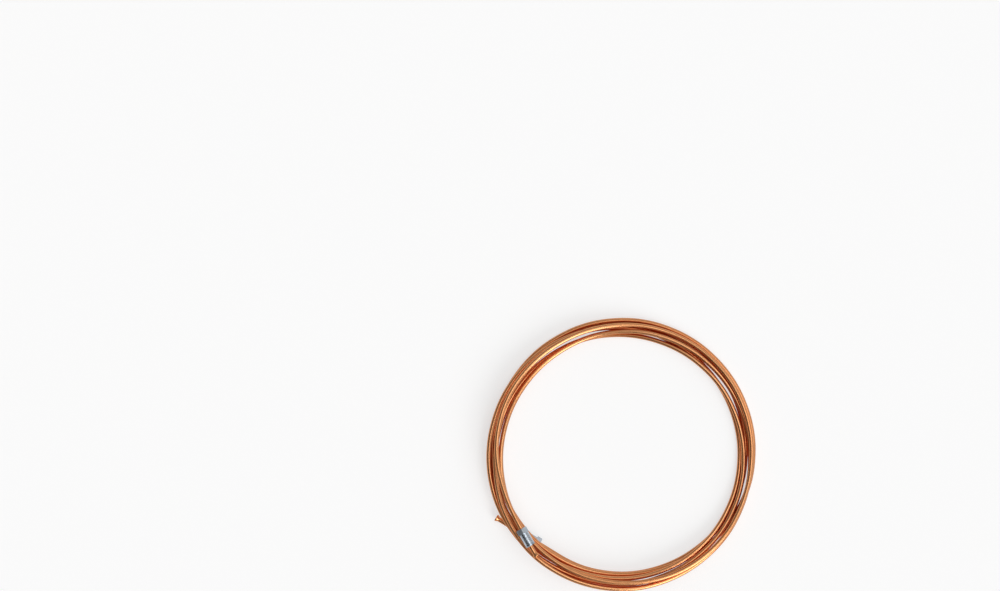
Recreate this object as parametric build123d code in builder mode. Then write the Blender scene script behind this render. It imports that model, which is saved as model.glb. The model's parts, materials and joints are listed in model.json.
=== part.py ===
from build123d import *
from math import cos, pi, radians, sin, sqrt, tan
import os

# A coil of copper tube, wound by hand into a loose bundle of turns, with a flare and a steel tube nut at
# each end. Millimetres, +Z up, the middle of the coil over the origin, the floor at z = 0.

# The tube.
tube_diameter = 4.75
wall = 0.9
clearance = 0.25  # between turns that rest on each other
bore_depth = 34.0  # how far the bore is open from each end

# The flares, one at each end of the tube.
flare_lip = 1.125  # how far a flare stands out from the tube
flare_rim = 1.2
flare_cone = 2.0
mouth_bevel = 1.325  # how far the mouth of the bore widens, and how deep

# The tube nuts, which slide on the tube behind the flares.
nut_clearance = 0.225  # between the tube and the bore of a nut
nut_flats = 11.0
nut_length = 19.5
hex_length = 5.7
hex_chamfer = 0.6  # how far the corners of the hexagon are turned down at its ends
hex_face = 10.5  # across the round face that this leaves
barrel_diameter = 9.9
barrel_chamfer = 0.7
port_room = 0.75  # kept free round a nut's barrel, and on out past the flare, for the port it screws into
seat_bevel = 1.0  # how far the foot of a nut's bore widens, and how deep

# The coil.
coil_radius = 127.0
points_per_turn = 15
steepest_climb = 5.0  # from one point of the path to the next

# The tube swings between the inside and the outside of the bundle as it is wound. Each place on the way
# is an angle wound, in degrees, and a distance out from the coil radius, in tube diameters.
swings = [
    (262, -1.62), (300, -1.55), (315, -1.34), (335, -0.80), (353, -0.60), (370, -0.42), (386, 0.10),
    (400, 0.28), (430, 0.42), (455, 0.85), (470, 0.98), (490, 0.75), (514, 0.58), (538, 0.02),
    (562, -0.78), (586, -1.14), (610, -1.43), (634, -1.60), (650, -1.55), (675, -0.30), (705, 0.85),
    (735, 1.30), (790, 1.70), (830, 1.52), (855, 1.17), (898, 0.40), (922, 0.30), (946, 0.06),
    (970, -0.64), (994, -0.72), (1018, -1.00), (1072, -1.77), (1125, -1.25), (1170, 0.10), (1210, 0.80),
    (1230, 0.94), (1258, 1.20), (1282, 1.36), (1306, 1.08), (1330, 0.38), (1354, 0.56), (1378, -0.02),
    (1392, -0.10), (1440, -1.00), (1470, -1.32), (1490, -1.54), (1507, -1.60), (1522, -1.55),
    (1546, -1.18), (1570, -0.98), (1594, -0.66), (1618, -0.26), (1642, 0.52), (1666, 1.30), (1690, 1.36),
    (1718, 1.50), (1732, 1.34), (1745, 1.08), (1762, 1.08), (1780, 0.80), (1795, 0.45), (1812, 0.25),
    (1850, -0.15), (1882, -0.52), (1906, -1.06), (1930, -1.56), (1954, -1.62), (1978, -1.38),
    (2010, -0.78), (2070, 0.10), (2115, 0.88), (2140, 0.60), (2155, 0.54), (2180, 0.86), (2220, 1.00),
    (2280, 0.20), (2320, 0.00), (2345, -0.52), (2370, -0.76),
]

# The straight run at each end of the tube: the angle at which it leaves the bundle, how far inside the
# coil radius that is, the length from there to the end, and how far behind the end its nut begins.
first_angle = 238.3
first_inset = 7.7
first_run = 73.8
first_nut = 31.6
last_angle = 209.6
last_inset = 3.6
last_run = 45.3
last_nut = 12.0

tube_radius = tube_diameter / 2
bore_radius = tube_radius - wall
flare_radius = tube_radius + flare_lip
nut_bore_radius = tube_radius + nut_clearance
pitch = tube_diameter + clearance
hex_corner = nut_flats / sqrt(3)
hex_start = nut_length - hex_length
step = 360 / points_per_turn
first_radius = coil_radius - first_inset
last_radius = coil_radius - last_inset
last_wound = last_angle + 360 * round((swings[-1][0] - last_angle) / 360)


def out_from_middle(angle):
    """Distance out from the coil radius at an angle wound: a smooth curve through the swings."""
    slopes = [0.0]
    for before, after in zip(swings, swings[2:]):
        slopes.append((after[1] - before[1]) / (after[0] - before[0]))
    slopes.append(0.0)
    angle = min(max(angle, swings[0][0]), swings[-1][0])
    for i in range(len(swings) - 1):
        (start, begin), (stop, finish) = swings[i], swings[i + 1]
        if angle <= stop:
            span = stop - start
            s = (angle - start) / span
            value = (1 + 2 * s) * (1 - s) ** 2 * begin + (3 - 2 * s) * s * s * finish
            value += span * (s * (1 - s) ** 2 * slopes[i] - s * s * (1 - s) * slopes[i + 1])
            return value * tube_diameter


def shares_at(u):
    """How much the point before, the point itself and the point after count, u steps past the point."""
    return (0.5 - u) ** 2 / 2, 0.75 - u * u, (0.5 + u) ** 2 / 2


def place(values, k, u):
    """A value of the rounded path, u steps past point k."""
    return sum(share * values[k + i - 1] for i, share in enumerate(shares_at(u)))


def over(height, room, aside):
    """The height at which a tube rests on a thing whose middle is at a height, with room between them."""
    return height + sqrt(room * room - aside * aside) if abs(aside) < room else 0.0


def girth(behind, nut_start):
    """Radius that is taken up round a straight run at a distance behind the end of the tube."""
    along_nut = behind - nut_start
    if hex_start - tube_diameter < along_nut < nut_length + tube_diameter:
        return hex_corner
    if along_nut < hex_start:
        return barrel_diameter / 2 + port_room
    return tube_radius


def room_at_run(angle, radius, run_angle, run_radius, run, nut_start, way):
    """Room that a straight run needs at a place of the coil, and how far aside of the run it is.

    The run needs it from a nut's length beyond its end, where a port comes on.
    """
    turned = radians(angle - run_angle)
    behind = run - way * radius * sin(turned)
    aside = radius * cos(turned) - run_radius
    facing = cos(turned) > 0
    if facing and -nut_length < behind < run:
        return girth(behind, nut_start) + tube_radius + clearance, aside
    return 0.0, aside


# The points of the path, in the order they are wound. The first and the last lie on the straight runs.
angles = [first_angle - step / 2]
while angles[-1] + 1.3 * step < last_wound + step:
    angles.append(angles[-1] + step)
radii = [first_radius, first_radius]
radii += [coil_radius + out_from_middle(a) for a in angles[2:-2]]
radii += [last_radius * cos(radians(step / 2)) / cos(radians(a - last_wound)) for a in angles[-2:]]

# The heights. The first end lies on the floor on its nut. From there on each turn in its order is lifted,
# a little at a time, until it clears the turns wound before it, the first end under them and the floor.
heights = [tube_radius] * len(angles)
places_between = [(2 * i - 7) / 16 for i in range(8)]
heights[0] = heights[1] = nut_flats / 2


def shortfall(k, u):
    """How much too low the path is, u steps past point k."""
    angle, radius = angles[k] + u * step, place(radii, k, u)
    room, aside = room_at_run(angle, radius, first_angle, first_radius, first_run, first_nut, -1)
    need = max(tube_radius, over(nut_flats / 2, room, aside))
    for under in range(k - points_per_turn, 0, -points_per_turn):
        need = max(need, over(place(heights, under, u), pitch, radius - place(radii, under, u)))
    return need - place(heights, k, u)


def lay(points):
    """Lift a row of points of the path until it clears what lies under it."""
    for _ in range(160):
        for k in points:
            for u in places_between:
                short, shares = shortfall(k, u), shares_at(u)
                if short > 0.01:
                    for i, share in enumerate(shares):
                        heights[k + i - 1] += 0.12 * short * share / sum(s * s for s in shares)
        heights[0] = heights[1] = nut_flats / 2
        for k in range(2, len(heights)):
            heights[k] = max(heights[k], heights[k - 1] - steepest_climb)
        for k in range(len(heights) - 2, 1, -1):
            heights[k] = max(heights[k], heights[k + 1] - steepest_climb)


for k in range(2, len(angles) - 1, points_per_turn):
    lay(range(2, min(k + points_per_turn, len(angles) - 1)))
for k in range(2, len(angles) - points_per_turn // 2):
    for u in places_between:
        angle, radius = angles[k] + u * step, place(radii, k, u)
        room, aside = room_at_run(angle, radius, last_angle, last_radius, last_run, last_nut, 1)
        heights[-1] = max(heights[-1], over(place(heights, k, u), room, aside))
heights[-2] = heights[-1] = max(heights[-2:])
lay(range(2, len(angles) - 2))


def on_run(run_angle, run_radius, height, along):
    """A point on a straight run, a length along it from where it touches its circle."""
    a = radians(run_angle)
    return Vector(
        run_radius * cos(a) - along * sin(a), run_radius * sin(a) + along * cos(a), height
    )


corners = []
for angle, radius, height in list(zip(angles, radii, heights))[1:-1]:
    far = radius / cos(radians(step / 2))
    corners.append(Vector(far * cos(radians(angle)), far * sin(radians(angle)), height))
first_end = on_run(first_angle, first_radius, heights[0], -first_run)
last_end = on_run(last_angle, last_radius, heights[-1], last_run)
path_points = [first_end] + corners + [last_end]

bends = []
for before, corner, after in zip(path_points, path_points[1:], path_points[2:]):
    reach = 0.47 * min((corner - before).length, (after - corner).length)
    bends.append(reach / tan(radians((corner - before).get_angle(after - corner) / 2)))

first_plane = Plane(first_end, z_dir=corners[0] - first_end, x_dir=Vector(0, 0, 1))
last_plane = Plane(last_end, z_dir=corners[-1] - last_end, x_dir=Vector(0, 0, 1))


# The copper tube: the outside swept along the winding, a flare turned at each end and the bore opened.
with BuildPart() as tube:
    with BuildLine() as winding:
        FilletPolyline(*path_points, radius=bends)
    with BuildSketch(first_plane):
        Circle(tube_radius)
    sweep(path=winding.line)
    for end in (first_plane, last_plane):
        with BuildSketch(end):
            Circle(flare_radius)
        extrude(amount=flare_rim)
        with BuildSketch(end.offset(flare_rim)):
            Circle(flare_radius)
        with BuildSketch(end.offset(flare_rim + flare_cone)):
            Circle(tube_radius)
        loft()
        with BuildSketch(end):
            Circle(bore_radius + mouth_bevel)
        with BuildSketch(end.offset(mouth_bevel)):
            Circle(bore_radius)
        loft(mode=Mode.SUBTRACT)
        with BuildSketch(end):
            Circle(bore_radius)
        extrude(amount=bore_depth, mode=Mode.SUBTRACT)
tube.part.label = "copper_tube"


# The tube nut, standing on its foot: a barrel with a bevelled seat in its foot, and a hexagon above it.
with BuildPart() as tube_nut:
    with BuildSketch(Plane.XZ):
        with BuildLine():
            Polyline(
                (0, hex_start), (hex_face / 2, hex_start), (hex_corner, hex_start + hex_chamfer),
                (hex_corner, nut_length - hex_chamfer), (hex_face / 2, nut_length), (0, nut_length),
                close=True,
            )
        make_face()
    revolve(axis=Axis.Z)
    with BuildSketch(Plane.XY.offset(hex_start)):
        RegularPolygon(nut_flats / 2, 6, major_radius=False, rotation=30)
    extrude(amount=hex_length, mode=Mode.INTERSECT)
    with BuildSketch():
        Circle(barrel_diameter / 2)
    extrude(amount=hex_start)
    chamfer(tube_nut.edges().group_by(Axis.Z)[0], barrel_chamfer)
    with BuildSketch():
        Circle(nut_bore_radius + seat_bevel)
    with BuildSketch(Plane.XY.offset(seat_bevel)):
        Circle(nut_bore_radius)
    loft(mode=Mode.SUBTRACT)
    with BuildSketch():
        Circle(nut_bore_radius)
    extrude(amount=nut_length, mode=Mode.SUBTRACT)

# One nut on each end of the tube, its foot towards the flare. The lower one lies on a flat of its hexagon
# and the upper one has a corner up.
with BuildPart(first_plane.offset(first_nut)) as lower_nut:
    add(tube_nut.part)
lower_nut.part.label = "tube_nut_lower"

with BuildPart(last_plane.offset(last_nut)) as upper_nut:
    add(tube_nut.part, rotation=(0, 0, 180 / 6))
upper_nut.part.label = "tube_nut_upper"

os.makedirs("parts", exist_ok=True)
export_step(tube.part, "parts/copper_tube.step")
export_step(lower_nut.part, "parts/tube_nut_lower.step")
export_step(upper_nut.part, "parts/tube_nut_upper.step")
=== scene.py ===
import json
import logging
from collections.abc import Sequence
from dataclasses import dataclass, field
from enum import Enum
from math import cos, radians, sin
from typing import ClassVar

import bpy
import numpy as np
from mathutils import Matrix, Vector


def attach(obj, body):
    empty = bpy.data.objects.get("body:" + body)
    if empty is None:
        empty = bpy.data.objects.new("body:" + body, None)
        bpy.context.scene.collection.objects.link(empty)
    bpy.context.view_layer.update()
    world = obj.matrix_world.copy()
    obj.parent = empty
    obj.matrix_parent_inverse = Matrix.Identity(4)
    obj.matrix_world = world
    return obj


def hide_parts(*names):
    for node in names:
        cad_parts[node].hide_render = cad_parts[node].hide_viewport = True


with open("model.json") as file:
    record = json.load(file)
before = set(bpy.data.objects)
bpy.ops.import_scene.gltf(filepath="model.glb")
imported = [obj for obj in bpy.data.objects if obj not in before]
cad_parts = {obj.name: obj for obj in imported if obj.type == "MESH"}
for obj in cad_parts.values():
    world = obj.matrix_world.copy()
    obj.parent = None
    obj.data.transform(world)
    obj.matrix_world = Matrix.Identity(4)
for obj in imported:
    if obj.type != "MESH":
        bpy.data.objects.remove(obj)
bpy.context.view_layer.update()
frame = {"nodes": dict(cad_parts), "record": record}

# Dresses the coil of copper tube and the tube nut on each of its ends. Metres, +Z up, the coil
# lying flat on the floor at z = 0 with its middle over the origin.

log = logging.getLogger("copper_tube_coil")

MM = 0.001
UP = np.array([0.0, 0.0, 1.0])

Colour = tuple[float, float, float]
Triple = tuple[float, float, float]
Pair = tuple[float, float]


class End(Enum):
    """The two ends of the tube, by where they lie in the coil."""

    LOWER = "lower"
    UPPER = "upper"


class Lobe(Enum):
    """What a lamp does for the coil, and so how wide and how bright it is."""

    OVERHEAD = "overhead"
    CORE = "core"
    SIDE = "side"


def unit(rows: np.ndarray) -> np.ndarray:
    """Each row divided by its own length."""
    return rows / np.linalg.norm(rows, axis=-1, keepdims=True)


def rounded(corners: Sequence[Pair], reach: Sequence[float], steps: int) -> np.ndarray:
    """Round the inner corners of an open profile.

    A corner C becomes the curve (1-t)^2 A + 2t(1-t) C + t^2 B, with t from 0 to 1, where A and B
    lie on the legs before and after it, the corner's reach away from it.

    Args:
        corners: the profile's places, one pair each.
        reach: how far each inner corner's curve reaches along its legs.
        steps: how many places each curve has.

    Returns:
        The rounded profile, one place a row, its first and last places kept.
    """
    place = np.asarray(corners, dtype=float)
    inner = place[1:-1]
    size = np.asarray(reach, dtype=float)[:, None]
    start = (inner + unit(place[:-2] - inner) * size)[:, None]
    stop = (inner + unit(place[2:] - inner) * size)[:, None]
    t = np.linspace(0.0, 1.0, steps)[None, :, None]
    curve = (1 - t) ** 2 * start + 2 * t * (1 - t) * inner[:, None] + t**2 * stop
    return np.vstack([place[:1], curve.reshape(-1, 2), place[-1:]])


def filled_in(profile: np.ndarray, gap: float) -> np.ndarray:
    """Put even places between those of a profile, so that none lie further apart than a gap.

    Each leg from A to B gets the places A + (B - A) k / n, with n its length over the gap, rounded
    up.

    Args:
        profile: the places, one a row.
        gap: the largest distance between neighbours.

    Returns:
        The profile with the places added.
    """
    legs = np.maximum(np.ceil(np.linalg.norm(np.diff(profile, axis=0), axis=1) / gap), 1)
    at = np.concatenate([[0.0], np.cumsum(legs)])
    wanted = np.arange(int(at[-1]) + 1)
    return np.stack([np.interp(wanted, at, column) for column in profile.T], axis=-1)


def grid_faces(rows: int, columns: int, rows_close: bool) -> np.ndarray:
    """Four-cornered faces over a grid of vertices whose columns close on themselves.

    The face at row i and column j joins the vertices (i, j), (i, j+1), (i+1, j+1) and (i+1, j).

    Args:
        rows: how many rows the grid has.
        columns: how many vertices each row has.
        rows_close: whether the last row is joined to the first.

    Returns:
        Four vertex numbers a face.
    """
    i = np.arange(rows if rows_close else rows - 1)[:, None]
    j = np.arange(columns)[None, :]
    below, above = i * columns, (i + 1) % rows * columns
    across = (j + 1) % columns
    return np.stack([below + j, below + across, above + across, above + j], axis=-1).reshape(-1, 4)


def fan_faces(ring: np.ndarray, pole: int) -> np.ndarray:
    """Three-cornered faces from each edge of a ring of vertices to one pole."""
    return np.stack([ring, np.roll(ring, -1), np.full(len(ring), pole)], axis=-1)


def new_piece(
    name: str,
    places: np.ndarray,
    faces: list[list[int]],
    marks: dict[str, np.ndarray],
    crease: float,
) -> bpy.types.Object:
    """Make a mesh object of a worked out surface.

    Args:
        name: the object's name.
        places: the vertices, one a row.
        faces: the vertex numbers of each face.
        marks: values for the finish to read, a row or a number a vertex, by name.
        crease: the angle from which an edge is left sharp, in degrees.

    Returns:
        The object, at the origin, in the scene.
    """
    mesh = bpy.data.meshes.new(name)
    mesh.from_pydata(places.tolist(), [], faces)
    for label, values in marks.items():
        kind, key = ("FLOAT_VECTOR", "vector") if values.ndim == 2 else ("FLOAT", "value")
        mark = mesh.attributes.new(label, kind, "POINT")
        mark.data.foreach_set(key, values.astype(np.float32).ravel())
    mesh.shade_smooth()
    mesh.set_sharp_from_angle(angle=radians(crease))
    mesh.update()
    piece = bpy.data.objects.new(name, mesh)
    bpy.context.scene.collection.objects.link(piece)
    return piece


@dataclass(frozen=True)
class Skin:
    """A merged copy of a CAD node's surface: its places, their outward normals, and its faces."""

    places: np.ndarray
    normals: np.ndarray
    faces: np.ndarray

    merge: ClassVar[float] = 0.01 * MM
    tiny: ClassVar[float] = 1e-20
    facing_cosine: ClassVar[float] = 0.999
    off_plane: ClassVar[float] = 0.1 * MM

    @classmethod
    def of_node(cls, name: str) -> "Skin":
        """Read a node's loose triangles and merge their corners.

        Corners that round to the same multiples of merge are one place. A place's normal is the
        sum of the cross products of the triangles that meet there, brought to length 1.

        Args:
            name: the node's name.

        Returns:
            The merged surface.
        """
        mesh = frame["nodes"][name].data
        loose = np.empty(len(mesh.vertices) * 3, dtype=np.float32)
        mesh.vertices.foreach_get("co", loose)
        corner = np.empty(len(mesh.loops), dtype=np.int32)
        mesh.loops.foreach_get("vertex_index", corner)
        loose = loose.reshape(-1, 3).astype(float)
        cell = np.round(loose / cls.merge).astype(int)
        _, first, merged = np.unique(cell, axis=0, return_index=True, return_inverse=True)
        places, faces = loose[first], merged.ravel()[corner].reshape(-1, 3)
        a, b, c = (places[faces[:, k]] for k in range(3))
        across = np.cross(b - a, c - a)
        normals = np.zeros_like(places)
        for k in range(3):
            np.add.at(normals, faces[:, k], across)
        size = np.linalg.norm(normals, axis=1, keepdims=True) + cls.tiny
        return cls(places, normals / size, faces)

    def middle_of_flat(self, near: np.ndarray, facing: np.ndarray, within: float) -> np.ndarray:
        """Middle of the flat that faces a way near a place: the mean of its triangles, by area.

        Args:
            near: a place on the flat.
            facing: the way the flat faces.
            within: how far from that place its triangles are looked for.

        Returns:
            The middle.
        """
        a, b, c = (self.places[self.faces[:, k]] for k in range(3))
        across = np.cross(b - a, c - a)
        area = np.linalg.norm(across, axis=1)
        centre = (a + b + c) / 3
        chosen = across @ facing > self.facing_cosine * area
        chosen &= np.abs((centre - near) @ facing) < self.off_plane
        chosen &= np.linalg.norm(centre - near, axis=1) < within
        return (centre[chosen] * area[chosen, None]).sum(axis=0) / area[chosen].sum()


@dataclass(frozen=True)
class MiddleLine:
    """The line through the middle of the tube: even places, and how far along each is.

    It is followed in strides, from what lies abreast on the skin within look_round, and is then
    laid out at an even gap and smoothed over a spread.
    """

    places: np.ndarray
    lengths: np.ndarray

    stride: ClassVar[float] = 2.0 * MM
    most_strides: ClassVar[int] = 20000
    strides_to_finish: ClassVar[float] = 1.5
    strides_abreast: ClassVar[float] = 1.1
    look_round: ClassVar[float] = 2.6 * MM
    enough_places: ClassVar[int] = 8
    heading_strides: ClassVar[int] = 6
    spread: ClassVar[float] = 5.0 * MM
    spreads_each_way: ClassVar[int] = 3
    gap: ClassVar[float] = 1.0 * MM

    @classmethod
    def through(
        cls, skin: Skin, radius: float, start: np.ndarray, heading: np.ndarray, finish: np.ndarray
    ) -> "MiddleLine":
        """Follow a tube's skin from one end to the other.

        A place on the skin less its normal times the tube's radius lies on the middle line. From
        the start a stride is taken along the heading, and the mean of such places close by draws it
        in.

        Args:
            skin: the tube's merged surface.
            radius: the tube's outside radius.
            start: the middle of the end to start from.
            heading: the way into the tube there.
            finish: the middle of the other end.

        Returns:
            The smoothed line.
        """
        feet = skin.places - skin.normals * radius
        stations, place = [start], start
        for _ in range(cls.most_strides):
            place = place + heading * cls.stride
            if np.linalg.norm(place - finish) < cls.strides_to_finish * cls.stride:
                break
            aside = feet - place
            abreast = np.abs(aside @ heading) < cls.strides_abreast * cls.stride
            near = aside[abreast & ((aside**2).sum(axis=1) < cls.look_round**2)]
            if len(near) > cls.enough_places:
                shift = near.mean(axis=0)
                place = place + shift - heading * (shift @ heading)
                stations.append(place)
                known = len(stations) > cls.heading_strides
                back = stations[-cls.heading_strides] if known else start
                heading = unit(place - back) + unit(place - stations[-2])
                heading = heading / np.linalg.norm(heading)
        return cls.even(np.vstack([*stations, finish]))

    @classmethod
    def even(cls, stations: np.ndarray) -> "MiddleLine":
        """Lay even places along a row of stations and smooth them.

        Each place becomes the mean of its neighbours with weights exp(-(distance / spread)^2 / 2),
        the line being run on straight past its ends.

        Args:
            stations: places on the line, in order.

        Returns:
            The line.
        """
        gap, spread = cls.gap, cls.spread
        far = np.concatenate([[0.0], np.cumsum(np.linalg.norm(np.diff(stations, axis=0), axis=1))])
        wanted = np.linspace(0.0, far[-1], int(far[-1] / gap) + 1)
        line = np.stack([np.interp(wanted, far, column) for column in stations.T], axis=-1)
        half = int(cls.spreads_each_way * spread / gap)
        weights = np.exp(-0.5 * (np.arange(-half, half + 1) * gap / spread) ** 2)
        head = line[0] + (line[0] - line[1]) * np.arange(half, 0, -1)[:, None]
        tail = line[-1] + (line[-1] - line[-2]) * np.arange(1, half + 1)[:, None]
        longer = np.vstack([head, line, tail]).T
        line = np.stack([np.convolve(c, weights / weights.sum(), "valid") for c in longer], axis=-1)
        lengths = np.concatenate([[0.0], np.cumsum(np.linalg.norm(np.diff(line, axis=0), axis=1))])
        return cls(line, lengths)

    @property
    def length(self) -> float:
        """The tube's length."""
        return float(self.lengths[-1])

    def frames(self, at: np.ndarray) -> tuple[np.ndarray, np.ndarray, np.ndarray]:
        """Places on the line, with two directions square to it at each.

        The first direction is level, Z up crossed with the tangent; the second is the tangent
        crossed with the first.

        Args:
            at: lengths along the tube.

        Returns:
            The places, the level directions and the upright ones, a row each.
        """
        tangents = unit(np.gradient(self.places, axis=0))
        place = np.stack([np.interp(at, self.lengths, c) for c in self.places.T], axis=-1)
        tangent = unit(np.stack([np.interp(at, self.lengths, c) for c in tangents.T], axis=-1))
        level = unit(np.cross(UP, tangent))
        return place, level, np.cross(tangent, level)


@dataclass(frozen=True)
class Grain:
    """A pattern of soft noise, drawn out by a different amount each way.

    It has per_metre of its features in a metre, each way, as many finer layers as detail says, and
    fade is how strong each layer is beside the one before.
    """

    per_metre: Triple
    detail: float
    fade: float = 0.5


class Graph:
    """The node tree of one material, with a short call for each kind of node the finishes need."""

    colour_sockets: ClassVar[tuple[int, int]] = (6, 7)
    blended_socket: ClassVar[int] = 2

    def __init__(self, name: str) -> None:
        """Start a material with one surface shader and nothing else.

        Args:
            name: the material's name.
        """
        self.material = bpy.data.materials.new(name)
        self.material.use_nodes = True
        self.nodes = self.material.node_tree.nodes
        self.links = self.material.node_tree.links
        self.nodes.clear()
        self.shader = self.nodes.new("ShaderNodeBsdfPrincipled")
        output = self.nodes.new("ShaderNodeOutputMaterial")
        self.links.new(self.shader.outputs[0], output.inputs["Surface"])

    def add(self, kind: str, inputs: dict[int | str, object], **settings: object) -> bpy.types.Node:
        """Add a node and fill its sockets.

        Args:
            kind: the node's type.
            inputs: a value or another node's output for each socket, by name or number.
            **settings: the node's own properties.

        Returns:
            The node.
        """
        node = self.nodes.new(kind)
        for key, value in settings.items():
            setattr(node, key, value)
        for key, value in inputs.items():
            if isinstance(value, bpy.types.NodeSocket):
                self.links.new(value, node.inputs[key])
            else:
                node.inputs[key].default_value = value
        return node

    def set(self, **sockets: object) -> None:
        """Fill the surface shader's sockets.

        Args:
            **sockets: a value or a node's output for each, named with underscores for its spaces.
        """
        for key, value in sockets.items():
            socket = self.shader.inputs[key.replace("_", " ")]
            if isinstance(value, bpy.types.NodeSocket):
                self.links.new(value, socket)
            else:
                socket.default_value = value

    def mark(self, name: str, kind: str = "Vector") -> bpy.types.NodeSocket:
        """A value that the piece's own mesh carries."""
        return self.add("ShaderNodeAttribute", {}, attribute_name=name).outputs[kind]

    def noise(self, where: bpy.types.NodeSocket, grain: Grain) -> bpy.types.NodeSocket:
        """Soft noise over a piece.

        Args:
            where: the places it is read at.
            grain: how large and how fine its pattern is.

        Returns:
            The noise, from 0 to 1.
        """
        scale = {0: where, 1: grain.per_metre}
        drawn = self.add("ShaderNodeVectorMath", scale, operation="MULTIPLY").outputs[0]
        layers = {"Scale": 1.0, "Detail": grain.detail, "Roughness": grain.fade}
        return self.add("ShaderNodeTexNoise", {"Vector": drawn, **layers}).outputs[0]

    def spread(self, value: bpy.types.NodeSocket, span: Pair, onto: Pair) -> bpy.types.NodeSocket:
        """Carry one range of a value over to another, and hold it between the other's ends."""
        ends = {"From Min": span[0], "From Max": span[1], "To Min": onto[0], "To Max": onto[1]}
        return self.add("ShaderNodeMapRange", {"Value": value, **ends}, clamp=True).outputs[0]

    def work(
        self, operation: str, one: bpy.types.NodeSocket | float, other: bpy.types.NodeSocket | float
    ) -> bpy.types.NodeSocket:
        """One operation on two values."""
        return self.add("ShaderNodeMath", {0: one, 1: other}, operation=operation).outputs[0]

    def blend(
        self,
        share: bpy.types.NodeSocket | float,
        one: bpy.types.NodeSocket | Colour,
        other: bpy.types.NodeSocket | Colour,
    ) -> bpy.types.NodeSocket:
        """Blend two colours.

        Args:
            share: how much of the other colour is in it, from 0 to 1.
            one: a colour.
            other: the other colour.

        Returns:
            The blended colour.
        """
        pair = [c if isinstance(c, bpy.types.NodeSocket) else (*c, 1.0) for c in (one, other)]
        inputs = {0: share, **dict(zip(self.colour_sockets, pair))}
        return self.add("ShaderNodeMix", inputs, data_type="RGBA").outputs[self.blended_socket]

    def relief(self, height: bpy.types.NodeSocket) -> bpy.types.NodeSocket:
        """The normal of a surface raised by a height in metres."""
        inputs = {"Strength": 1.0, "Distance": 1.0, "Height": height}
        return self.add("ShaderNodeBump", inputs).outputs[0]


@dataclass(frozen=True)
class DrawnCopper:
    """Bright copper, drawn through a die and handled since, under a thin film of drawing oil.

    Reads three marks of the piece: run, how far along the tube a place is and where it is across
    it, in metres; bore, 1 inside the tube and 0 outside, which paints the bore darker, as a dull
    oxide and as painted shade that deepens into it; and the painted-shade mark, from 0 in the open
    to
    1 where other turns close a place in, along which shade between the turns is painted in as a
    darker, redder copper. Each span is the range of a pattern or a mark over which its effect comes
    in.
    """

    clean: Colour = (0.77, 0.350, 0.145)
    warm: Colour = (0.74, 0.300, 0.112)
    dull: Colour = (0.64, 0.245, 0.085)
    # Painted shade between the turns: a darker, redder copper.
    painted_shade_tint: Colour = (0.72, 0.165, 0.028)
    # The bore painted darker: its dull oxide, and painted shade that deepens into it.
    inside: Colour = (0.24, 0.095, 0.040)
    rim_sheen: Colour = (0.24, 0.10, 0.04)
    gloss: float = 0.25
    oil: float = 0.5
    oil_gloss: float = 0.22
    gloss_span: Pair = (0.3, 0.7)
    gloss_swing: Pair = (-0.03, 0.04)
    lines: Grain = Grain((7.0, 2600.0, 2600.0), detail=3.0, fade=0.6)
    line_span: Pair = (0.38, 0.22)
    line_share: float = 0.12
    line_height: float = 0.0009 * MM
    drift: Grain = Grain((9.0, 90.0, 90.0), detail=2.0)
    drift_span: Pair = (0.38, 0.66)
    cloud: Grain = Grain((42.0, 260.0, 260.0), detail=4.0, fade=0.6)
    smudge_span: Pair = (0.50, 0.76)
    smudge_share: float = 0.35
    smudge_roughness: float = 0.2
    rubs: Grain = Grain((150.0, 3600.0, 3600.0), detail=1.0)
    rub_span: Pair = (0.66, 0.76)
    rub_share: float = 0.25
    waves: Grain = Grain((26.0, 110.0, 110.0), detail=1.0)
    wave_height: float = 0.022 * MM
    # Where and how strongly shade is painted in between the turns, and the roughness added there.
    painted_shade_span: Pair = (0.1, 0.55)
    painted_shade_share: float = 0.9
    painted_shade_roughness: float = 0.1
    bore_roughness: float = 0.25

    def material(self, name: str) -> bpy.types.Material:
        """Work out the finish.

        Args:
            name: the material's name.

        Returns:
            The material.
        """
        g = Graph(name)
        run, bore, painted_shade = g.mark("run"), g.mark("bore", "Fac"), g.mark("painted_shade", "Fac")
        lines, drift = g.noise(run, self.lines), g.noise(run, self.drift)
        cloud, rubs = g.noise(run, self.cloud), g.noise(run, self.rubs)
        waves = g.noise(run, self.waves)

        colour = g.blend(g.spread(drift, self.drift_span, (0.0, 1.0)), self.clean, self.warm)
        smudge = g.spread(cloud, self.smudge_span, (0.0, self.smudge_share))
        rubbed = g.spread(rubs, self.rub_span, (0.0, self.rub_share))
        lined = g.spread(lines, self.line_span, (0.0, self.line_share))
        # Painted shade between the turns.
        painted_shade_blend = g.spread(painted_shade, self.painted_shade_span, (0.0, self.painted_shade_share))
        for share in (smudge, rubbed, lined):
            colour = g.blend(share, colour, self.dull)
        colour = g.blend(painted_shade_blend, colour, self.painted_shade_tint)
        # The bore painted darker: dull oxide, and painted shade deepening into it.
        colour = g.blend(bore, colour, self.inside)

        low, high = (self.gloss + swing for swing in self.gloss_swing)
        rough = g.spread(lines, self.gloss_span, (low, high))
        rough = g.work("ADD", rough, g.work("MULTIPLY", smudge, self.smudge_roughness))
        rough = g.work("ADD", rough, g.work("MULTIPLY", painted_shade, self.painted_shade_roughness))
        rough = g.work("ADD", rough, g.work("MULTIPLY", bore, self.bore_roughness))

        height = g.work("MULTIPLY", lines, self.line_height)
        height = g.work("ADD", height, g.work("MULTIPLY", waves, self.wave_height))
        g.set(Base_Color=colour, Roughness=rough, Normal=g.relief(height))
        g.set(Metallic=1.0, Specular_Tint=(*self.rim_sheen, 1.0))
        g.set(Coat_Weight=self.oil, Coat_Roughness=self.oil_gloss)
        return g.material


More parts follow.
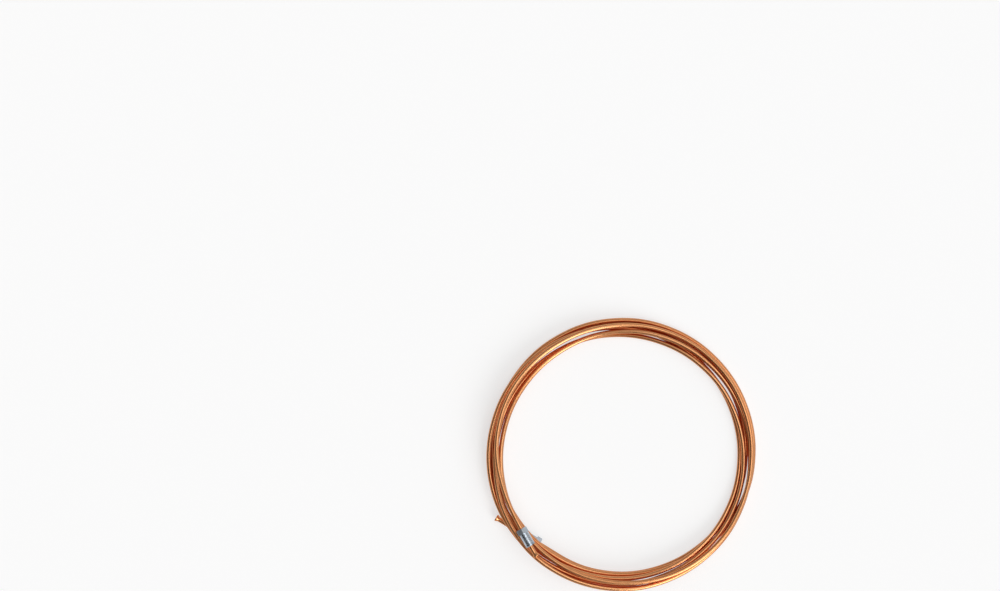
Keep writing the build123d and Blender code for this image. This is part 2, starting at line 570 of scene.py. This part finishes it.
@dataclass(frozen=True)
class ZincPlate:
    """Bright zinc plate with a faint blue cast on turned and drawn steel.

    Reads three marks of the piece: run, how far along the nut a place is and where it is across it,
    in metres; the edge mark, 1 on the corners and rims of the hexagon, less on the thread's crests,
    and 0 on the rest, which paints a highlight along the hexagon's corners and shows wear on the
    rims and crests; and drawn, 1 on the flats of the hexagon, which are as the bar was drawn, and 0
    where the steel was turned. Each span is the range of a pattern over which its effect comes in.
    """

    plate: Colour = (0.42, 0.48, 0.545)
    cloudy: Colour = (0.33, 0.385, 0.45)
    # Paler zinc: worn edges, a painted highlight along the hexagon's corners, and the drawn flats.
    rubbed: Colour = (0.66, 0.69, 0.72)
    gloss: float = 0.18
    drawn_gloss: float = 0.4
    gloss_span: Pair = (0.3, 0.7)
    wear_and_highlight_share: float = 0.8
    drawn_share: float = 0.45
    turning: Grain = Grain((9000.0, 150.0, 150.0), detail=2.0)
    turning_height: float = 0.0006 * MM
    turning_roughness: Pair = (-0.02, 0.03)
    cloud: Grain = Grain((260.0, 260.0, 260.0), detail=4.0, fade=0.62)
    cloud_span: Pair = (0.4, 0.68)
    cloud_roughness: float = 0.1
    specks: Grain = Grain((3200.0, 3200.0, 3200.0), detail=1.0)
    speck_span: Pair = (0.68, 0.8)
    speck_share: float = 0.5
    speck_height: float = 0.6

    def material(self, name: str) -> bpy.types.Material:
        """Work out the finish.

        Args:
            name: the material's name.

        Returns:
            The material.
        """
        g = Graph(name)
        run, wear_and_highlight, drawn = g.mark("run"), g.mark("wear_and_highlight", "Fac"), g.mark("drawn", "Fac")
        turning, cloud = g.noise(run, self.turning), g.noise(run, self.cloud)
        specks = g.noise(run, self.specks)

        colour = g.blend(g.spread(cloud, self.cloud_span, (0.0, 1.0)), self.plate, self.cloudy)
        speckled = g.spread(specks, self.speck_span, (0.0, self.speck_share))
        colour = g.blend(speckled, colour, self.cloudy)
        # Paler where worn, with a painted highlight along the hexagon's corners, and paler on the
        # drawn flats.
        paled_by_wear_and_highlight = g.work("MULTIPLY", wear_and_highlight, self.wear_and_highlight_share)
        pale = g.work("MAXIMUM", paled_by_wear_and_highlight, g.work("MULTIPLY", drawn, self.drawn_share))
        colour = g.blend(pale, colour, self.rubbed)

        clouded = (self.gloss, self.gloss + self.cloud_roughness)
        rough = g.spread(cloud, self.gloss_span, clouded)
        grooved = g.spread(turning, self.gloss_span, self.turning_roughness)
        rough = g.work("ADD", rough, grooved)
        rough = g.work("ADD", rough, g.work("MULTIPLY", drawn, self.drawn_gloss - self.gloss))

        height = g.work("MULTIPLY", turning, self.turning_height)
        pitted = g.work("MULTIPLY", specks, self.speck_height * self.turning_height)
        height = g.work("ADD", height, pitted)
        g.set(Base_Color=colour, Roughness=rough, Normal=g.relief(height), Metallic=1.0)
        return g.material


@dataclass
class CopperTube:
    """One length of copper tube with a flare at each end, lying in its coil."""

    finish: DrawnCopper = field(default_factory=DrawnCopper)
    node: str = "copper_tube"
    diameter: float = 4.75 * MM
    wall: float = 0.9 * MM
    bore_depth: float = 34.0 * MM
    flare_lip: float = 1.125 * MM
    flare_rim: float = 1.2 * MM
    flare_cone: float = 2.0 * MM
    mouth_bevel: float = 1.325 * MM
    mouth_rounding: float = 0.5 * MM
    rim_rounding: Pair = (0.16 * MM, 0.5 * MM)
    cone_rounding: Pair = (0.55 * MM, 0.8 * MM)
    curve_steps: int = 7
    lead: float = 2.5 * MM
    ring_gap: float = 2.1 * MM
    sides: int = 32
    face_reach: float = 2.2
    # Painted shade between turns: how far round other turns are looked for, in tube diameters.
    painted_shade_reach: float = 2.2
    turn_apart: float = 4.0
    # Depth over which the bore is painted darker, as oxide and as painted shade.
    bore_darkens_over: float = 3.0 * MM
    crease: float = 50.0

    def end_middle(self, skin: Skin, end: End) -> tuple[np.ndarray, np.ndarray]:
        """Middle of the tube's end face and the way it faces.

        Args:
            skin: the tube's merged surface.
            end: which end.

        Returns:
            The middle and the direction out of the tube.
        """
        name = f"{end.value}_flare_rim"
        mount = next(m for m in frame["record"]["mounts"] if m["name"] == name)
        facing = unit(np.array(mount["axis"], dtype=float))
        near = np.array(mount["pos_m"], dtype=float)
        within = self.face_reach * (self.diameter / 2 + self.flare_lip)
        return skin.middle_of_flat(near, facing, within), facing

    def end_profile(self) -> np.ndarray:
        """Profile of an end, from deep in the bore, round the flare, to the plain tube.

        Returns:
            Distance behind the end face and radius, a row each.
        """
        outside = self.diameter / 2
        bore, flare = outside - self.wall, outside + self.flare_lip
        corners = [
            (self.bore_depth, bore),
            (self.mouth_bevel, bore),
            (0.0, bore + self.mouth_bevel),
            (0.0, flare),
            (self.flare_rim, flare),
            (self.flare_rim + self.flare_cone, outside),
            (self.flare_rim + self.flare_cone + self.lead, outside),
        ]
        reach = [self.mouth_rounding, *self.rim_rounding, *self.cone_rounding]
        return filled_in(rounded(corners, reach, self.curve_steps), self.ring_gap)

    def painted_shade_shares(
        self, at: np.ndarray, centre: np.ndarray, places: np.ndarray, outward: np.ndarray
    ) -> np.ndarray:
        """How far the other turns close each place of the skin in.

        A turn of radius R whose middle is a distance D away, at an angle a from the skin's outward
        direction, takes R cos(a) / D of what the place faces. The mark is the largest such share,
        and the finish paints shade between the turns by it. Rings close by along the tube belong to
        the same turn, and are left out.

        Args:
            at: how far along the tube each ring is.
            centre: the middle of each ring.
            places: the skin's places, ring by ring.
            outward: the direction from the middle to each place.

        Returns:
            The share of each place, from 0 to 1.
        """
        reach = self.painted_shade_reach * self.diameter
        apart = np.linalg.norm(centre[:, None] - centre[None], axis=-1)
        another_turn = np.abs(at[:, None] - at[None]) > self.turn_apart * reach
        here, there = np.nonzero((apart < reach) & another_turn)
        share = np.zeros(places.shape[:2])
        towards = centre[there][:, None] - places[here]
        far = np.linalg.norm(towards, axis=-1)
        faced = (towards * outward[here]).sum(axis=-1) / far
        np.maximum.at(share, here, np.clip(self.diameter / 2 * faced / far, 0.0, 1.0))
        return share

    def build(self) -> bpy.types.Object:
        """Carry the profile along the middle line.

        The surface is C(s) + r(s) (cos a L(s) + sin a U(s)), where C is the middle line, L and U
        its level and upright directions, s the distance along and a the angle around. It runs from
        the bottom of one bore out round the flare, along the whole tube, and in again at the other
        end.

        Returns:
            The tube's object.
        """
        skin = Skin.of_node(self.node)
        start, outward = self.end_middle(skin, End.LOWER)
        finish, _ = self.end_middle(skin, End.UPPER)
        line = MiddleLine.through(skin, self.diameter / 2, start, -outward, finish)
        log.info("middle line %.1f mm long", line.length / MM)

        profile = self.end_profile()
        clear = profile[-1, 0]
        count = round((line.length - 2 * clear) / self.ring_gap)
        between = np.linspace(clear, line.length - clear, count)[1:-1]
        plain = np.column_stack([between, np.full_like(between, self.diameter / 2)])
        far = profile[::-1] * (-1, 1) + (line.length, 0)
        rings = np.vstack([profile, plain, far])
        at, radius = rings[:, 0], rings[:, 1:, None]
        angle = np.linspace(0.0, 2 * np.pi, self.sides, endpoint=False)
        centre, level, upright = line.frames(at)
        around = np.cos(angle)[:, None] * level[:, None] + np.sin(angle)[:, None] * upright[:, None]
        skin_places = (centre[:, None] + radius * around).reshape(-1, 3)

        run = np.empty((len(at), self.sides, 3))
        run[..., 0] = at[:, None]
        run[..., 1] = radius[:, :, 0] * np.cos(angle)
        run[..., 2] = radius[:, :, 0] * np.sin(angle)
        # How far other turns close each place in, along which the finish paints shade between
        # turns.
        painted_shade = self.painted_shade_shares(at, centre, skin_places.reshape(len(at), self.sides, 3), around)
        # Where the bore is painted darker, more so deeper in: dull oxide and painted shade.
        depth = np.clip(np.minimum(at, line.length - at) / self.bore_darkens_over, 0.0, 1.0)
        within = rings[:, 1] < self.diameter / 2 - self.wall / 2
        bore = np.repeat(depth * within, self.sides)

        poles = centre[[0, -1]]
        first_pole = len(skin_places)
        last_ring = np.arange(first_pole - self.sides, first_pole)
        faces = grid_faces(len(at), self.sides, rows_close=False)[:, ::-1].tolist()
        faces += fan_faces(np.arange(self.sides), first_pole).tolist()
        faces += fan_faces(last_ring[::-1], first_pole + 1).tolist()
        marks = {
            "run": np.vstack([run.reshape(-1, 3), [(at[0], 0, 0), (at[-1], 0, 0)]]),
            "bore": np.concatenate([bore, [1.0, 1.0]]),
            "painted_shade": np.concatenate([painted_shade.ravel(), [0.0, 0.0]]),
        }
        places = np.vstack([skin_places, poles])
        return new_piece("coiled_tube", places, faces, marks, self.crease)

    def dress(self) -> bpy.types.Object:
        """Build the tube, finish it and put it in the place of its CAD node.

        Returns:
            The tube's object.
        """
        piece = self.build()
        piece.data.materials.append(self.finish.material("drawn_copper"))
        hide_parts(self.node)
        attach(piece, "root")
        return piece


@dataclass
class TubeNut:
    """A steel tube nut: a threaded barrel towards the flare and a hexagon behind it.

    The angles in its fields are in degrees, round from the middle of a flat.
    """

    end: End
    clearance: float = 0.225 * MM
    tube_diameter: float = 4.75 * MM
    flats: float = 11.0 * MM
    length: float = 19.5 * MM
    hex_sides: int = 6
    hex_length: float = 5.7 * MM
    hex_chamfer: float = 0.6 * MM
    hex_face: float = 10.5 * MM
    hex_round: float = 0.5 * MM
    barrel_diameter: float = 9.9 * MM
    barrel_chamfer: float = 0.7 * MM
    seat_bevel: float = 1.0 * MM
    back_bevel: float = 0.3 * MM
    seam: Pair = (2.2 * MM, 2.3 * MM)
    thread_pitch: float = 1.0 * MM
    thread_depth: float = 0.12 * MM
    thread_crest: float = 0.70
    thread_root: float = 0.10
    thread_fade: float = 0.5
    plain_lead: float = 2.2 * MM
    relief_width: float = 1.3 * MM
    relief_slopes: Pair = (0.25 * MM, 0.2 * MM)
    relief_depth: float = 0.9
    rounding_mm: tuple[float, ...] = (
        0.2, 0.1, 0.1, 0.12, 0.06, 0.05, 0.05, 0.05, 0.08, 0.08, 0.08,
    )
    curve_steps: int = 4
    row_gap: float = 0.085 * MM
    near_barrel: float = 0.02 * MM
    hair: float = 1e-9
    column_angles: tuple[float, ...] = (3.0, 9.0, 14.5, 19.5, 23.5, 26.5, 28.6, 29.6)
    # Painted highlight along the hexagon's corners: where it starts, in degrees from a flat's
    # middle, and over how many degrees it comes in.
    corner_highlight: Pair = (27.6, 1.6)
    rim_wear: float = 0.3 * MM
    crest_wear: float = 0.5
    bore_margin: float = 1.0 * MM
    crease: float = 36.0

    @property
    def node(self) -> str:
        """The CAD node that this nut stands for."""
        return f"tube_nut_{self.end.value}"

    @property
    def to_corner(self) -> float:
        """How far round a corner of the hexagon is from the middle of a flat, in radians."""
        return radians(180.0 / self.hex_sides)

    @property
    def turned(self) -> float:
        """How far round the middle of a flat is from straight up; the upper nut's corner is up."""
        return self.to_corner if self.end is End.UPPER else 0.0

    def stand(self) -> tuple[np.ndarray, np.ndarray]:
        """Where the middle of the foot is, and the way from the foot to the hexagon.

        The record gives the middle of the barrel's plain wall, between its chamfer and the hexagon.

        Returns:
            The foot and the direction.
        """
        name = f"{self.end.value}_nut_thread"
        mount = next(m for m in frame["record"]["mounts"] if m["name"] == name)
        outward = unit(np.array(mount["axis"], dtype=float))
        to_foot = (self.length - self.hex_length + self.barrel_chamfer) / 2
        return np.array(mount["pos_m"], dtype=float) + outward * to_foot, -outward

    def columns(self) -> np.ndarray:
        """Angles of the grid's columns, closer together towards the corners of the hexagon.

        Returns:
            The angles from the middle of a flat, round the whole nut.
        """
        half = np.radians(self.column_angles)
        sector = np.concatenate([-half[::-1], half])
        flat = 2 * self.to_corner * np.arange(self.hex_sides)
        return (flat[:, None] + sector[None]).ravel()

    def profile(self) -> np.ndarray:
        """Profile of the nut as a closed round, with the hexagon at its widest.

        It starts and ends at a seam in the bore, whose two sides the last face joins.

        Returns:
            Height above the foot and radius, a row each, from inside the foot outwards and back
            down the bore.
        """
        bore = self.tube_diameter / 2 + self.clearance
        barrel, corner = self.barrel_diameter / 2, self.flats / np.sqrt(3)
        under, face = self.length - self.hex_length, self.hex_face / 2
        corners = [
            (self.seam[0], bore),
            (self.seat_bevel, bore),
            (0.0, bore + self.seat_bevel),
            (0.0, barrel - self.barrel_chamfer),
            (self.barrel_chamfer, barrel),
            (under, barrel),
            (under, face),
            (under + self.hex_chamfer, corner),
            (self.length - self.hex_chamfer, corner),
            (self.length, face),
            (self.length, bore + self.back_bevel),
            (self.length - self.back_bevel, bore),
            (self.seam[1], bore),
        ]
        reach = [r * MM for r in self.rounding_mm]
        return filled_in(rounded(corners, reach, self.curve_steps), self.row_gap)

    def hexagon(self, from_flat: np.ndarray) -> np.ndarray:
        """Radius of the hexagon, with its corners rounded.

        It is half the flats over the cosine of the angle from the nearest flat. At an angle b from
        a corner it is no more than d cos b + sqrt(q^2 - (d sin b)^2), the far side of a circle of
        radius q whose middle is d out.

        Args:
            from_flat: angles from the middle of the nearest flat.

        Returns:
            The radius at each angle.
        """
        from_corner = self.to_corner - np.abs(from_flat)
        out = (self.flats - 2 * self.hex_round) / np.sqrt(3)
        bend = self.hex_round**2 - (out * np.sin(from_corner)) ** 2
        near = bend > (self.hex_round * np.cos(self.to_corner + from_corner)) ** 2
        corner = out * np.cos(from_corner) + np.sqrt(np.maximum(bend, 0.0))
        return np.where(near, corner, self.flats / 2 / np.cos(from_flat))

    def thread(self, z: np.ndarray, angle: np.ndarray) -> tuple[np.ndarray, np.ndarray, np.ndarray]:
        """The thread, and the groove behind it.

        The thread's cut goes by the fraction of z / pitch - a / turn: none on the crest, the whole
        depth at the root, and even along the flanks between.

        Args:
            z: heights above the foot.
            angle: angles round the nut.

        Returns:
            The share of its depth that the thread is cut at each height and angle, how fully the
            thread has set in at each height, and how fully the groove has.
        """
        under = self.length - self.hex_length
        phase = (z[:, None] / self.thread_pitch - angle / (2 * np.pi)) % 1.0
        off_root = np.abs(phase - 0.5)
        flank = (1 - self.thread_crest - self.thread_root) / 2
        cut = np.clip((0.5 - self.thread_crest / 2 - off_root) / flank, 0.0, 1.0)
        fade = np.clip((z - self.plain_lead) / (self.thread_fade * self.thread_pitch), 0.0, 1.0)
        into, out_of = self.relief_slopes
        groove = np.clip((z - (under - self.relief_width)) / into, 0.0, 1.0)
        groove *= np.clip((under - z) / out_of, 0.0, 1.0)
        return cut, fade, groove

    def build(self) -> bpy.types.Object:
        """Turn the profile, cut the hexagon and the thread.

        The radius at a height and an angle is the profile's, no more than the hexagon's where that
        is, and less the cut of the thread or the groove on the barrel.

        Returns:
            The nut's object.
        """
        profile, angle = self.profile(), self.columns()
        z, turned = profile[:, 0], profile[:, 1]
        bore = self.tube_diameter / 2 + self.clearance
        under, barrel = self.length - self.hex_length, self.barrel_diameter / 2
        from_flat = (angle + self.to_corner) % (2 * self.to_corner) - self.to_corner
        hexagon = self.hexagon(from_flat)
        on_hex = (z >= under - self.hair) & (turned > barrel)
        radius = np.where(on_hex[:, None], np.minimum(turned[:, None], hexagon), turned[:, None])

        cut, fade, groove = self.thread(z, angle)
        on_barrel = (z < under - self.near_barrel) & (turned > barrel - self.near_barrel)
        share = cut * (fade * (1 - groove))[:, None] + self.relief_depth * groove[:, None]
        radius = radius - self.thread_depth * share * on_barrel[:, None]

        foot, axis = self.stand()
        side = np.cross(axis, UP)
        lean = angle[:, None] + self.turned
        around = np.cos(lean) * UP + np.sin(lean) * side
        places = foot + z[:, None, None] * axis + radius[..., None] * around[None]
        height = np.broadcast_to(z[:, None], radius.shape)
        run = np.stack([height, radius * np.cos(angle), radius * np.sin(angle)], axis=-1)

        # The hexagon's corners get a painted highlight; its rims and the thread's crests get wear.
        highlight_from, highlight_over = (radians(a) for a in self.corner_highlight)
        at_corner = np.clip((np.abs(from_flat) - highlight_from) / highlight_over, 0.0, 1.0)
        at_corner = at_corner * on_hex[:, None]
        at_rim = on_hex * np.clip(1 - np.abs(turned - self.flats / 2) / self.rim_wear, 0.0, 1.0)
        on_crest = self.crest_wear * (1 - cut) * (fade * on_barrel)[:, None]
        wear_and_highlight = np.maximum(np.maximum(at_corner, at_rim[:, None]), on_crest)
        wear_and_highlight = wear_and_highlight * (turned > bore + self.bore_margin)[:, None]
        on_flat = on_hex[:, None] & (hexagon < turned[:, None])
        faces = grid_faces(len(z), len(angle), rows_close=True).tolist()
        marks = {
            "run": run.reshape(-1, 3),
            "wear_and_highlight": wear_and_highlight.ravel(),
            "drawn": on_flat.ravel().astype(float),
        }
        name = f"nut_{self.end.value}"
        return new_piece(name, places.reshape(-1, 3), faces, marks, self.crease)

    def dress(self, plate: bpy.types.Material) -> bpy.types.Object:
        """Build the nut, finish it and put it in the place of its CAD node.

        Args:
            plate: the finish, shared by both nuts.

        Returns:
            The nut's object.
        """
        piece = self.build()
        piece.data.materials.append(plate)
        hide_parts(self.node)
        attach(piece, "root")
        return piece


@dataclass(frozen=True)
class Lamp:
    """A soft round lamp, far off: where it stands in the sky, how wide it looks and how bright."""

    lobe: Lobe
    azimuth: float
    elevation: float
    width: float
    brightness: float

    def build(self) -> bpy.types.Object:
        """Put the lamp in the scene.

        A lamp that looks w wide gives sin(w/2)^2 pi times its brightness to a surface that faces
        it.

        Returns:
            The lamp's object.
        """
        light = bpy.data.lights.new(f"lamp_{self.lobe.value}", "SUN")
        light.angle = radians(self.width)
        light.energy = self.brightness * np.pi * sin(radians(self.width / 2)) ** 2
        lamp = bpy.data.objects.new(light.name, light)
        level = cos(radians(self.elevation))
        towards = Vector(
            (
                level * cos(radians(self.azimuth)),
                level * sin(radians(self.azimuth)),
                sin(radians(self.elevation)),
            )
        )
        lamp.rotation_euler = towards.to_track_quat("Z", "Y").to_euler()
        bpy.context.scene.collection.objects.link(lamp)
        return lamp


@dataclass
class Studio:
    """The camera, the floor, the lamps and the sky round the coil."""

    lens: float = 200.0
    sees_as_far_as: float = 200.0
    frame_width: float = 1.0
    picture: tuple[int, int] = (1000, 591)
    coil_pixel: Pair = (621.5, 455.0)
    in_focus: float = 12.0 * MM
    floor_colour: Colour = (0.45, 0.45, 0.45)
    floor_glow: float = 0.615
    floor_size: float = 60.0
    floor_roughness: float = 0.9
    floor_sheen: float = 0.1
    lamps: tuple[Lamp, ...] = (
        Lamp(Lobe.OVERHEAD, azimuth=12.0, elevation=64.0, width=84.0, brightness=0.33),
        Lamp(Lobe.CORE, azimuth=10.0, elevation=70.0, width=27.0, brightness=1.7),
        Lamp(Lobe.SIDE, azimuth=304.0, elevation=34.0, width=36.0, brightness=5.2),
    )
    horizon: float = 0.95
    horizon_top: Pair = (0.05, 0.13)
    walls: float = 0.26
    lighter_right: float = 0.18
    lighter_back: float = 0.13

    def camera(self) -> bpy.types.Object:
        """Camera straight above, its frame placed by where the coil lies in the picture.

        Returns:
            The camera's object.
        """
        data = bpy.data.cameras.new("camera")
        data.lens = self.lens
        data.clip_end = self.sees_as_far_as
        camera = bpy.data.objects.new("camera", data)
        metres = self.frame_width / self.picture[0]
        camera.location = (
            (self.picture[0] / 2 - self.coil_pixel[0]) * metres,
            (self.coil_pixel[1] - self.picture[1] / 2) * metres,
            self.in_focus + self.lens / data.sensor_width * self.frame_width,
        )
        bpy.context.scene.collection.objects.link(camera)
        bpy.context.scene.camera = camera
        return camera

    def floor(self) -> bpy.types.Object:
        """One flat, square sheet at z = 0 with a plain pale matt finish.

        Part of its whiteness is shown to the camera and in reflections only, and lights nothing.

        Returns:
            The floor's object.
        """
        half = self.floor_size / 2
        corners = [(-half, -half, 0), (half, -half, 0), (half, half, 0), (-half, half, 0)]
        mesh = bpy.data.meshes.new("floor")
        mesh.from_pydata(corners, [], [(0, 1, 2, 3)])
        floor = bpy.data.objects.new("floor", mesh)
        bpy.context.scene.collection.objects.link(floor)
        g = Graph("pale_floor")
        g.set(Base_Color=(*self.floor_colour, 1.0), Emission_Color=(1.0, 1.0, 1.0, 1.0))
        g.set(Roughness=self.floor_roughness, Specular_IOR_Level=self.floor_sheen)
        path = g.add("ShaderNodeLightPath", {})
        seen = path.outputs["Is Camera Ray"]
        for ray in ("Is Glossy Ray", "Is Transmission Ray"):
            seen = g.work("MAXIMUM", seen, path.outputs[ray])
        g.set(Emission_Strength=g.work("MULTIPLY", seen, self.floor_glow))
        mesh.materials.append(g.material)
        return floor

    def sky(self) -> bpy.types.World:
        """Plain soft light all round: pale at the horizon and darker above it.

        Above the horizon the light from the direction (x, y, z) is walls + lighter_right x +
        lighter_back y.

        Returns:
            The world.
        """
        world = bpy.data.worlds.new("studio")
        world.use_nodes = True
        nodes, links = world.node_tree.nodes, world.node_tree.links
        back = nodes["Background"]
        way = nodes.new("ShaderNodeTexCoord").outputs["Generated"]
        split = nodes.new("ShaderNodeSeparateXYZ")
        links.new(way, split.inputs[0])
        walls = self.walls
        for axis, slope in (("X", self.lighter_right), ("Y", self.lighter_back)):
            side = nodes.new("ShaderNodeMath")
            side.operation = "MULTIPLY_ADD"
            links.new(split.outputs[axis], side.inputs[0])
            side.inputs[1].default_value = slope
            if isinstance(walls, bpy.types.NodeSocket):
                links.new(walls, side.inputs[2])
            else:
                side.inputs[2].default_value = walls
            walls = side.outputs[0]
        rise = nodes.new("ShaderNodeMapRange")
        rise.interpolation_type = "SMOOTHSTEP"
        links.new(split.outputs["Z"], rise.inputs["Value"])
        rise.inputs["From Min"].default_value = self.horizon_top[0]
        rise.inputs["From Max"].default_value = self.horizon_top[1]
        rise.inputs["To Min"].default_value = self.horizon
        links.new(walls, rise.inputs["To Max"])
        links.new(rise.outputs[0], back.inputs["Strength"])
        back.inputs["Color"].default_value = (1.0, 1.0, 1.0, 1.0)
        bpy.context.scene.world = world
        return world

    def build(self) -> None:
        """Set up the camera, the floor, the sky and the lamps."""
        self.camera()
        self.floor()
        self.sky()
        for lamp in self.lamps:
            lamp.build()
        bpy.context.scene.view_settings.view_transform = "Standard"


def report(piece: bpy.types.Object) -> None:
    """Log a piece's name and how many faces it has."""
    log.info("%s: %d faces", piece.name, len(piece.data.polygons))


def main() -> None:
    """Build the studio, the tube and its two nuts, and log how many faces each has."""
    logging.basicConfig(level=logging.INFO, format="%(name)s: %(message)s")
    Studio().build()
    report(CopperTube().dress())
    plate = ZincPlate().material("zinc_plate")
    for end in End:
        report(TubeNut(end).dress(plate))


if __name__ == "__main__":
    main()
